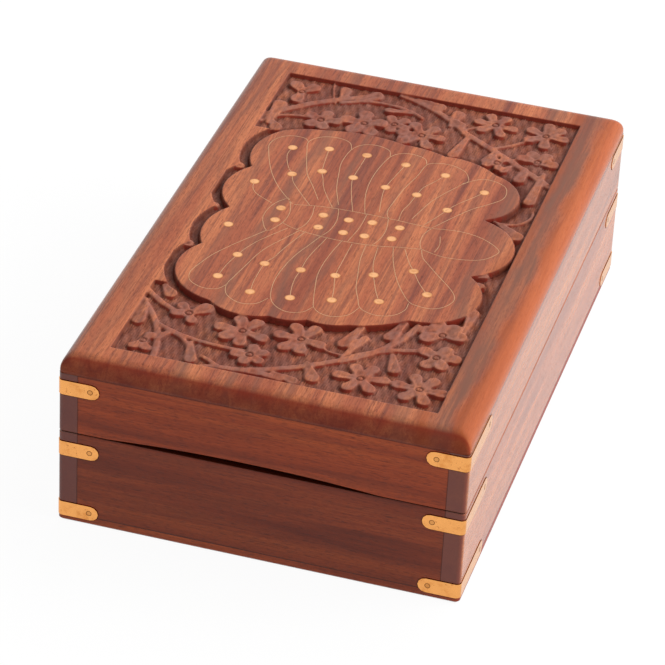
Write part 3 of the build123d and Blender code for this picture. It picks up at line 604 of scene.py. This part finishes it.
def lining(node):
    """A velvet pad of a lining's size, with soft edges and an uneven nap, glued to its board."""
    low, high = (np.array(corner / MM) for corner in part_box(node))
    thin = int(np.argmin(high - low))
    u, v = [axis for axis in range(3) if axis != thin]
    inside = LID_TOP / 2 if thin == 2 else 0.0
    outer_low = (low[thin] + high[thin]) / 2 < inside
    back, front = (low[thin], high[thin]) if outer_low else (high[thin], low[thin])
    us, vs = (np.linspace(low[i], high[i], int((high[i] - low[i]) / PAD_STEP) + 2) for i in (u, v))
    gu, gv = np.meshgrid(us, vs)
    edge = np.minimum(np.minimum(gu - low[u], high[u] - gu), np.minimum(gv - low[v], high[v] - gv))
    share = PAD_EDGE + (1 - PAD_EDGE) * shoulder(edge + 0.05, PAD_ROUND)
    share -= PAD_UNEVEN * (1 + wobble(gu, gv, *PAD_WAVE))
    points = np.zeros((gu.size, 3))
    points[:, u], points[:, v] = gu.ravel(), gv.ravel()
    points[:, thin] = (back + (front - back) * share).ravel()
    vertices, faces = closed_grid(points, gu.shape, thin, back)
    obj = new_object(node.replace("lining", "velvet"), vertices, faces)
    if np.cross(np.eye(3)[u], np.eye(3)[v])[thin] * (front - back) < 0:
        obj.data.flip_normals()
    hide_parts(node)
    return obj


# Materials


def grey(value):
    """An opaque grey."""
    return (value, value, value, 1)


def shade(colour, factor):
    """A colour times one number, or times a number for each channel."""
    factors = factor if isinstance(factor, tuple) else (factor,) * 3
    return tuple(min(1.0, channel * part) for channel, part in zip(colour, factors))


class Graph:
    """A material's nodes, added and joined in reading order."""

    def __init__(self, name):
        self.material = bpy.data.materials.new(name)
        self.material.use_nodes = True
        self.tree = self.material.node_tree
        self.shader = self.tree.nodes["Principled BSDF"]

    def put(self, socket, value):
        """Give a socket a value, or join it to another socket."""
        if isinstance(value, bpy.types.NodeSocket):
            self.tree.links.new(value, socket)
        else:
            socket.default_value = value

    def add(self, kind, inputs=None, **settings):
        """A node with its settings, and values or sockets at its inputs."""
        node = self.tree.nodes.new(kind)
        for key, value in settings.items():
            setattr(node, key, value)
        for key, value in (inputs or {}).items():
            self.put(node.inputs[key], value)
        return node

    def set(self, name, value):
        """An input of the material's own shader."""
        self.put(self.shader.inputs[name], value)

    def maths(self, operation, a, b=0.0, clamp=False):
        """The result of one sum."""
        return self.add("ShaderNodeMath", {0: a, 1: b}, operation=operation, use_clamp=clamp).outputs[0]

    def ramp(self, value, stops):
        """Colours or greys at places from 0 to 1."""
        node = self.add("ShaderNodeValToRGB", {0: value})
        while len(node.color_ramp.elements) < len(stops):
            node.color_ramp.elements.new(0.5)
        for element, (place, colour) in zip(node.color_ramp.elements, stops):
            element.position = place
            element.color = grey(colour) if isinstance(colour, (int, float)) else (*colour, 1)
        return node.outputs[0]

    def mix(self, share, a, b):
        """From a socket's colour to a colour, by a share."""
        return self.add("ShaderNodeMix", {0: share, 6: a, 7: (*b, 1)}, data_type="RGBA").outputs[2]

    def noise(self, vector, sizes, detail, roughness, distortion=0.0):
        """Noise with features of these sizes in millimetres."""
        scale = tuple(1 / (size * MM) for size in sizes)
        vector = self.add("ShaderNodeMapping", {"Vector": vector, "Scale": scale}).outputs[0]
        inputs = {"Scale": 1.0, "Detail": detail, "Roughness": roughness, "Distortion": distortion}
        return self.add("ShaderNodeTexNoise", {"Vector": vector, **inputs}).outputs[0]

    def attribute(self, name):
        """A number kept for each point of the mesh."""
        return self.add("ShaderNodeAttribute", attribute_name=name).outputs["Fac"]

    def bump(self, height, strength, distance):
        """Bumps too fine for the mesh, at most this many millimetres high."""
        inputs = {"Height": height, "Strength": strength, "Distance": distance * MM}
        self.set("Normal", self.add("ShaderNodeBump", inputs).outputs[0])


WOOD_LIGHT, WOOD_MIDDLE, WOOD_DARK = (0.55, 0.145, 0.042), (0.42, 0.095, 0.030), (0.245, 0.048, 0.018)
WOOD_STREAK, WOOD_GREY, WOOD_ORANGE = (0.110, 0.034, 0.020), (0.20, 0.082, 0.054), (0.34, 0.076, 0.020)
# Dark browns: for seams and the painted shade where the box opens, and for dirt and painted shade in the
# carving
SEAM_AND_GAP_SHADE, CARVED_SHADE_AND_DIRT = (0.045, 0.008, 0.004), (0.075, 0.013, 0.007)
CARVED_SMOKE = (0.27, 0.112, 0.085)
SEAM_REACH = 0.45
WOOD_BUMP = 0.12
SHINE, CARVED_SHINE = {"X": 0.25, "Y": 0.6}, 0.10
GRAIN_TURN = {"X": (0, 0, 0), "Y": (0, 0, -pi / 2)}

# Orange and grey-brown figure across the lid's board: millimetres from its left side, and strength
LID_GLOW = [
    (0, 0.1), (30, 0), (56, 0), (64, 0.12), (76, 0.1), (83, 0), (107, 0), (111, 0.6), (114, 0.4),
    (116, 0), (120.5, 0.1), (123, 0.7), (127, 0.7),
]
LID_FIGURE = [
    (0, 0.15), (4, 0), (7, 0.35), (9, 0), (21, 0), (23, 0.3), (25, 0), (32.5, 0), (34.5, 0.7), (36, 0.6),
    (38, 0), (49.5, 0), (51.5, 0.8), (53.5, 0), (58.5, 0), (60, 0.4), (62, 0), (67.5, 0), (69.5, 0.45),
    (71, 0), (84, 0), (86, 0.25), (88, 0), (101, 0), (103, 0.65), (105.5, 0.65), (107, 0.1), (113.5, 0.15),
    (116.5, 0.95), (119.5, 0.95), (121.5, 0.05), (127, 0),
]
FIGURE_WIDTH, FIGURE_WANDER = 127, 0.12


def grained(graph, along, tone, streaks):
    """Colour, height and roughness of plain sheesham: bands, streaks, fibres, pores and flecks."""
    bands = graph.noise(along, (150, 8, 8), 3, 0.5, 0.7)
    streak = graph.noise(along, (70, 2.6, 4), 4, 0.62, 1.1)
    fibres = graph.noise(along, (18, 0.5, 0.5), 3, 0.65)
    pores = graph.noise(along, (3.4, 0.26, 0.26), 2, 0.5)
    flecks = graph.noise(along, (2.4, 0.7, 0.7), 2, 0.6)
    light, middle, dark = (shade(colour, tone) for colour in (WOOD_LIGHT, WOOD_MIDDLE, WOOD_DARK))
    colour = graph.ramp(bands, [(0.28, dark), (0.46, middle), (0.66, light)])
    streak_share = graph.ramp(streak, [(0.50, 0.0), (0.57, streaks * 0.6), (0.70, streaks)])
    colour = graph.mix(streak_share, colour, shade(WOOD_STREAK, tone))
    colour = graph.mix(graph.ramp(fibres, [(0.36, 0.0), (0.74, 0.5)]), colour, shade(dark, 0.75))
    pore_share = graph.ramp(pores, [(0.60, 0.0), (0.70, 0.6)])
    colour = graph.mix(pore_share, colour, shade(dark, 0.35))
    colour = graph.mix(graph.ramp(flecks, [(0.50, 0.0), (0.72, 0.4)]), colour, shade(dark, 0.5))
    height = graph.maths("SUBTRACT", graph.maths("MULTIPLY", fibres, 0.4), pore_share)
    roughness = graph.maths("ADD", 0.17, graph.maths("MULTIPLY", fibres, 0.12))
    return colour, height, roughness


def figured(graph, place, along, colour):
    """The lid's figure: wandering orange and patchy grey-brown stripes at their places across it."""
    wander = graph.noise(along, (38, 24, 24), 4, 0.5)
    wander = graph.maths("MULTIPLY", graph.maths("SUBTRACT", wander, 0.5), FIGURE_WANDER)
    across = graph.add("ShaderNodeSeparateXYZ", {0: place}).outputs["X"]
    across = graph.maths("ADD", graph.maths("DIVIDE", across, FIGURE_WIDTH * MM), 0.5)
    across = graph.maths("ADD", across, wander)
    glow, figure = (
        graph.ramp(across, [(distance / FIGURE_WIDTH, share) for distance, share in marks])
        for marks in (LID_GLOW, LID_FIGURE)
    )
    colour = graph.mix(glow, colour, WOOD_ORANGE)
    patchy = graph.ramp(graph.noise(along, (30, 3, 3), 3, 0.6), [(0.35, 0.45), (0.6, 1.0)])
    return graph.mix(graph.maths("MULTIPLY", figure, patchy), colour, WOOD_GREY)


def knife_worked(graph, along, colour, height, roughness):
    """Carved wood: greyer and rougher where it is worked, with dirt and painted shade in its crevices."""
    worked, shade_and_dirt = graph.attribute("worked"), graph.attribute("shade_and_dirt")
    smoke = graph.ramp(graph.noise(along, (5, 3.4, 5), 3, 0.6), [(0.38, 0.2), (0.62, 0.75)])
    colour = graph.mix(graph.maths("MULTIPLY", worked, smoke), colour, CARVED_SMOKE)
    # Painted shade and dirt: hollows, steep walls and low ground are mixed towards a dark brown
    shade_and_dirt_share = graph.ramp(shade_and_dirt, [(0.0, 0.0), (0.12, 0.25), (0.34, 0.62), (1.0, 0.95)])
    colour = graph.mix(shade_and_dirt_share, colour, CARVED_SHADE_AND_DIRT)
    scratches = graph.maths("MULTIPLY", graph.noise(along, (2.6, 0.5, 0.5), 3, 0.6), worked)
    height = graph.maths("ADD", height, graph.maths("MULTIPLY", scratches, 3.0))
    return colour, height, graph.maths("ADD", roughness, graph.maths("MULTIPLY", worked, 0.22))


def seamed_and_gap_shaded(graph, place, level, seams_and_gap_shade, colour, dark):
    """Dark glue seams on the upright faces, and painted shade on the level rims and in lines where the box
    opens.
    """
    # Painted shade: level faces, such as the rims where the box opens, are darkened
    colour = graph.mix(graph.maths("MULTIPLY", level, 0.75), colour, shade(dark, 0.25))
    upright = graph.maths("SUBTRACT", 1.0, level)
    parts = graph.add("ShaderNodeSeparateXYZ", {0: place})
    for axis, distance in seams_and_gap_shade:
        off = graph.maths("SUBTRACT", graph.maths("ABSOLUTE", parts.outputs[axis]), distance * MM)
        off = graph.maths("DIVIDE", graph.maths("ABSOLUTE", off), SEAM_REACH * MM)
        line = graph.maths("MULTIPLY", graph.maths("SUBTRACT", 1.0, off, clamp=True), upright)
        colour = graph.mix(graph.maths("MULTIPLY", line, 0.9), colour, SEAM_AND_GAP_SHADE)
    return colour


def wood(name, grain, offset, tone, streaks, seams_and_gap_shade=(), carved=False):
    """Oiled sheesham, as a solid texture whose bands, streaks and fibres run along the grain's axis."""
    graph = Graph(name)
    coordinates = graph.add("ShaderNodeTexCoord")
    place = coordinates.outputs["Object"]
    mapping = {"Vector": place, "Rotation": GRAIN_TURN[grain], "Location": offset}
    along = graph.add("ShaderNodeMapping", mapping).outputs[0]
    dark = shade(WOOD_DARK, tone)
    colour, height, roughness = grained(graph, along, tone, streaks)
    if carved:
        colour = figured(graph, place, along, colour)
        colour, height, roughness = knife_worked(graph, along, colour, height, roughness)
        # On the carved board the end-grain tint peaks on the front rounding: end grain, and partly painted
        # shade of the rounding
        end_grain_and_shade_stops, end_grain_and_shade_colour = [(0.40, 0.0), (0.62, 0.7), (0.9, 0.5)], shade(dark, (0.80, 0.25, 0.2))
    else:
        end_grain_and_shade_stops, end_grain_and_shade_colour = [(0.45, 0.0), (0.8, 0.85)], shade(dark, (0.7, 0.35, 0.3))
    normal = graph.add("ShaderNodeSeparateXYZ", {0: coordinates.outputs["Normal"]})
    end_grain_and_shade = graph.ramp(graph.maths("ABSOLUTE", normal.outputs[grain]), end_grain_and_shade_stops)
    colour = graph.mix(end_grain_and_shade, colour, end_grain_and_shade_colour)
    if seams_and_gap_shade:
        level = graph.ramp(graph.maths("ABSOLUTE", normal.outputs["Z"]), [(0.75, 0.0), (0.95, 1.0)])
        colour = seamed_and_gap_shaded(graph, place, level, seams_and_gap_shade, colour, dark)
    graph.set("Base Color", colour)
    graph.set("Roughness", graph.maths("ADD", roughness, graph.maths("MULTIPLY", end_grain_and_shade, 0.2)))
    graph.set("Specular IOR Level", CARVED_SHINE if carved else SHINE[grain])
    graph.bump(height, 0.3, WOOD_BUMP)
    return graph.material


def brass(name, colour, roughness=0.3, scratches=0.5, rim_shade=None):
    """Satin brass with filing marks, duller patches and specks, and a shaded rim where a piece has one."""
    graph = Graph(name)
    place = graph.add("ShaderNodeTexCoord").outputs["Object"]
    patches = graph.noise(place, (4, 4, 4), 4, 0.65)
    dull, bright = shade(colour, (0.80, 0.68, 0.55)), shade(colour, 1.1)
    tarnished = graph.ramp(patches, [(0.28, dull), (0.48, colour), (0.75, bright)])
    specks = graph.ramp(graph.noise(place, (1.1, 1.1, 1.1), 3, 0.7), [(0.60, 0.0), (0.70, 0.7)])
    tarnished = graph.mix(specks, tarnished, shade(colour, (0.55, 0.42, 0.35)))
    if rim_shade:
        rim = graph.maths("MULTIPLY", graph.attribute("rim"), 0.85)
        tarnished = graph.mix(rim, tarnished, shade(colour, rim_shade))
    graph.set("Base Color", tarnished)
    graph.set("Metallic", 1.0)
    graph.set("Roughness", graph.maths("ADD", roughness - 0.12, graph.maths("MULTIPLY", patches, 0.25)))
    graph.bump(graph.noise(place, (3.0, 0.35, 0.35), 3, 0.6), scratches, BRASS_BUMP)
    return graph.material


def velvet(name):
    """Short dark red pile."""
    graph = Graph(name)
    place = graph.add("ShaderNodeTexCoord").outputs["Object"]
    nap = graph.noise(place, (9, 9, 9), 4, 0.65)
    graph.set("Base Color", graph.ramp(nap, [(0.3, VELVET_DARK), (0.7, VELVET_LIGHT)]))
    graph.set("Roughness", 0.9)
    graph.set("Specular IOR Level", 0.1)
    graph.set("Sheen Weight", 0.35)
    graph.set("Sheen Roughness", 0.5)
    graph.set("Sheen Tint", VELVET_SHEEN)
    graph.bump(graph.noise(place, (0.35, 0.35, 0.35), 2, 0.6), 0.6, VELVET_BUMP)
    return graph.material


def dress(obj, material):
    """Give an object one material all over."""
    obj.data.materials.clear()
    obj.data.materials.append(material)


def ease_edges(obj, width):
    """Worn edges on a CAD piece, as a modifier."""
    bevel = obj.modifiers.new("eased", "BEVEL")
    bevel.width = width * MM
    bevel.segments = 2
    bevel.limit_method = "ANGLE"
    bevel.angle_limit = radians(35)
    bevel.harden_normals = True


# Pieces and their finishes

LID_TONE = (1.07, 1.34, 2.05)
# The right boards' tones: wood tone, paler in green and blue as painted sheen of the bright surroundings
BASE_SIDE_TONE_AND_SHEEN, LID_SIDE_TONE_AND_SHEEN, BACK_TONE = (0.95, 1.08, 1.05), (1.0, 1.25, 1.2), (0.80, 0.80, 0.85)
FRONT_TONE, BASE_FRONT_TONE, BOTTOM_TONE = (1.10, 0.76, 0.62), (0.82, 0.60, 0.58), (1.15, 0.90, 0.8)

# Dark seams and painted shade lines (at 32.8 and 32.6 mm, where the box opens): axis, and distance from 0
# along it in mm
CORNER_SEAMS, BASE_SEAMS_AND_GAP_SHADE, LID_SEAMS_AND_GAP_SHADE = ((0, 57.5),), ((2, 3.1), (2, 32.8)), ((2, 53.7), (2, 32.6))

# Axis of the grain, place in the tree in metres, tone, strength of streaks, and seams with painted shade
# lines
BOARDS = {
    "bottom_board": ("X", (0.31, 0.02, 0.04), BOTTOM_TONE, 0.2, ()),
    "base_left_wall": ("Y", (0.12, 0.05, 0.01), BACK_TONE, 0.4, BASE_SEAMS_AND_GAP_SHADE),
    "base_right_wall": ("Y", (0.52, 0.15, 0.07), BASE_SIDE_TONE_AND_SHEEN, 0.2, BASE_SEAMS_AND_GAP_SHADE),
    "base_front_wall": ("X", (0.73, 0.11, 0.03), BASE_FRONT_TONE, 0.3, CORNER_SEAMS + BASE_SEAMS_AND_GAP_SHADE),
    "base_back_wall": ("X", (0.93, 0.21, 0.13), BACK_TONE, 0.4, CORNER_SEAMS + BASE_SEAMS_AND_GAP_SHADE),
    "lid_left_rail": ("Y", (1.12, 0.25, 0.11), BACK_TONE, 0.4, LID_SEAMS_AND_GAP_SHADE),
    "lid_right_rail": ("Y", (1.32, 0.35, 0.17), LID_SIDE_TONE_AND_SHEEN, 0.15, LID_SEAMS_AND_GAP_SHADE),
    "lid_front_rail": ("X", (1.53, 0.31, 0.23), FRONT_TONE, 0.3, CORNER_SEAMS + LID_SEAMS_AND_GAP_SHADE),
    "lid_back_rail": ("X", (1.73, 0.41, 0.33), BACK_TONE, 0.4, CORNER_SEAMS + LID_SEAMS_AND_GAP_SHADE),
}

# Body and board of each lining
LININGS = {
    "base_floor_lining": ("base", "bottom_board"), "base_left_lining": ("base", "base_left_wall"),
    "base_right_lining": ("base", "base_right_wall"), "base_front_lining": ("base", "base_front_wall"),
    "base_back_lining": ("base", "base_back_wall"), "lid_lining": ("lid", "lid_top_board"),
}
STRAP_BRASS, HINGE_BRASS = (0.84, 0.375, 0.112), (0.68, 0.36, 0.13)
DOT_BRASS, WIRE_BRASS = (0.97, 0.50, 0.235), (0.66, 0.38, 0.21)
NAIL_BRASS, SCREW_BRASS = shade(STRAP_BRASS, 0.8), shade(HINGE_BRASS, (0.5, 0.42, 0.35))
# Rim colours: golden for the dots, and painted shade of the gap round each nail head
GOLDEN_RIM, NAIL_GAP_SHADE = (0.55, 0.34, 0.12), (0.12, 0.06, 0.05)
VELVET_DARK, VELVET_LIGHT, VELVET_SHEEN = (0.145, 0.009, 0.015), (0.20, 0.013, 0.021), (0.75, 0.20, 0.22, 1)
BRASS_BUMP, VELVET_BUMP = 0.05, 0.2
STRAP_EASE = 0.25

lid = carved_lid()
dress(lid, wood("sheesham_lid", "Y", (0.02, 0.06, 0.09), LID_TONE, 0.6, carved=True))
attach(lid, "lid")
for name, (grain, offset, tone, streaks, seams_and_gap_shade) in BOARDS.items():
    dress(nodes[name], wood(f"sheesham_{name}", grain, offset, tone, streaks, seams_and_gap_shade))

strap_brass = brass("strap_brass", STRAP_BRASS, 0.2)
hinge_brass = brass("hinge_brass", HINGE_BRASS)
screw_brass = brass("screw_brass", SCREW_BRASS)
dot_brass = brass("dot_brass", DOT_BRASS, 0.36, 0.2, GOLDEN_RIM)
wire_brass = brass("wire_brass", WIRE_BRASS, 0.4, 0.2)
nail_brass = brass("nail_brass", NAIL_BRASS, 0.36, rim_shade=NAIL_GAP_SHADE)
for name, node in nodes.items():
    if "_strap_" in name and "nails" not in name:
        dress(node, strap_brass)
        ease_edges(node, STRAP_EASE)
    elif name.endswith("_screws"):
        dress(node, screw_brass)
    elif name.startswith("hinge"):
        dress(node, hinge_brass)
for piece, material, body in (
    (inlaid_wires(), wire_brass, "lid"), (inlaid_dots(), dot_brass, "lid"),
    (nail_heads("base_nail_heads", "base_strap_nails"), nail_brass, "base"),
    (nail_heads("lid_nail_heads", "lid_strap_nails"), nail_brass, "lid"),
):
    dress(piece, material)
    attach(piece, body)
pile = velvet("velvet_pile")
for name, (body, board) in LININGS.items():
    piece = lining(name)
    dress(piece, pile)
    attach(piece, body)


# Camera, from the photograph's own edges, aimed a little beside the target. Distances are in metres.

TARGET = Vector((0, 0, 29.8 * MM))
AZIMUTH, ELEVATION, ROLL = radians(14.526), radians(32.362), radians(3.049)
AIM_SIDE, AIM_UP = radians(0.385), radians(0.393)
DISTANCE = 1170.2 * MM
LENS, SENSOR = 197.9, 36
CLIP_NEAR, CLIP_FAR = 0.05, 20

# Studio: each lamp's place, size and power, and how bright the world and the floor are
LAMPS = {"key": ((0.60, 1.15, 1.15), 1.9, 25), "side": ((1.60, 0.20, 0.80), 1.5, 36)}
LAMP_AIM = Vector((0, 0, 0.03))
WORLD_LIGHT, FLOOR_GREY, FLOOR_GLOW, FLOOR_GLOW_SHARE = 0.4, 0.5, 1.07, 0.88
FLOOR_REACH = 6.0


def toward(azimuth, elevation):
    """Unit vector from the object towards a viewpoint."""
    return Vector((sin(azimuth) * cos(elevation), -cos(azimuth) * cos(elevation), sin(elevation)))


def add_camera():
    """The photograph's camera."""
    camera = placed(bpy.data.objects.new("camera", bpy.data.cameras.new("camera")))
    back = toward(AZIMUTH + AIM_SIDE, ELEVATION + AIM_UP)
    right = (-back).cross(Vector((0, 0, 1))).normalized()
    up = right.cross(-back).normalized()
    rolled_right = right * cos(ROLL) + up * sin(ROLL)
    rolled_up = up * cos(ROLL) - right * sin(ROLL)
    turn = Matrix((rolled_right, rolled_up, back)).transposed().to_4x4()
    camera.matrix_world = Matrix.Translation(TARGET + toward(AZIMUTH, ELEVATION) * DISTANCE) @ turn
    camera.data.lens = LENS
    camera.data.sensor_width = SENSOR
    camera.data.clip_start, camera.data.clip_end = CLIP_NEAR, CLIP_FAR
    bpy.context.scene.camera = camera


def add_softbox(name, place, size, power):
    """A square lamp aimed at the box, which gloss doesn't mirror as a white patch."""
    lamp = bpy.data.lights.new(name, "AREA")
    lamp.energy, lamp.size = power, size
    obj = placed(bpy.data.objects.new(name, lamp))
    obj.location = place
    obj.visible_glossy = False
    obj.rotation_euler = (LAMP_AIM - Vector(place)).to_track_quat("-Z", "Y").to_euler()


def seen_directly(tree):
    """1 for rays of the camera, gloss and glass, and 0 for rays that only carry light."""
    path = tree.nodes.new("ShaderNodeLightPath")
    seen = path.outputs["Is Camera Ray"]
    for ray in ("Is Glossy Ray", "Is Transmission Ray"):
        either = tree.nodes.new("ShaderNodeMath")
        either.operation = "MAXIMUM"
        tree.links.new(seen, either.inputs[0])
        tree.links.new(path.outputs[ray], either.inputs[1])
        seen = either.outputs[0]
    return seen


def mix_shaders(tree, share, a, b, output):
    """From one shader to another by a share, at an output."""
    mixed = tree.nodes.new("ShaderNodeMixShader")
    for socket, source in zip(mixed.inputs, (share, a, b)):
        tree.links.new(source, socket)
    tree.links.new(mixed.outputs[0], tree.nodes[output].inputs["Surface"])


def add_floor():
    """A pale floor that the camera, gloss and glass see as white, with the box's faint shadow."""
    corners = [(-FLOOR_REACH, -FLOOR_REACH, 0), (FLOOR_REACH, -FLOOR_REACH, 0)]
    corners += [(FLOOR_REACH, FLOOR_REACH, 0), (-FLOOR_REACH, FLOOR_REACH, 0)]
    mesh = bpy.data.meshes.new("floor")
    mesh.from_pydata(corners, [], [(0, 1, 2, 3)])
    floor = placed(bpy.data.objects.new("floor", mesh))
    graph = Graph("floor_white")
    graph.set("Base Color", grey(FLOOR_GREY))
    graph.set("Roughness", 0.9)
    glow = graph.add("ShaderNodeEmission", {"Color": grey(1.0), "Strength": FLOOR_GLOW})
    share = graph.maths("MULTIPLY", seen_directly(graph.tree), FLOOR_GLOW_SHARE)
    mix_shaders(graph.tree, share, graph.shader.outputs[0], glow.outputs[0], "Material Output")
    dress(floor, graph.material)


def set_world():
    """Soft light all round, seen as plain white by the camera, gloss and glass."""
    world = bpy.data.worlds.new("studio")
    world.use_nodes = True
    bpy.context.scene.world = world
    tree = world.node_tree
    light, white = tree.nodes["Background"], tree.nodes.new("ShaderNodeBackground")
    for background, strength in ((light, WORLD_LIGHT), (white, 1.0)):
        background.inputs["Color"].default_value = grey(1.0)
        background.inputs["Strength"].default_value = strength
    mix_shaders(tree, seen_directly(tree), light.outputs[0], white.outputs[0], "World Output")


bpy.context.scene.view_settings.view_transform = "Standard"
add_camera()
add_floor()
set_world()
for name, (place, size, power) in LAMPS.items():
    add_softbox(name, place, size, power)
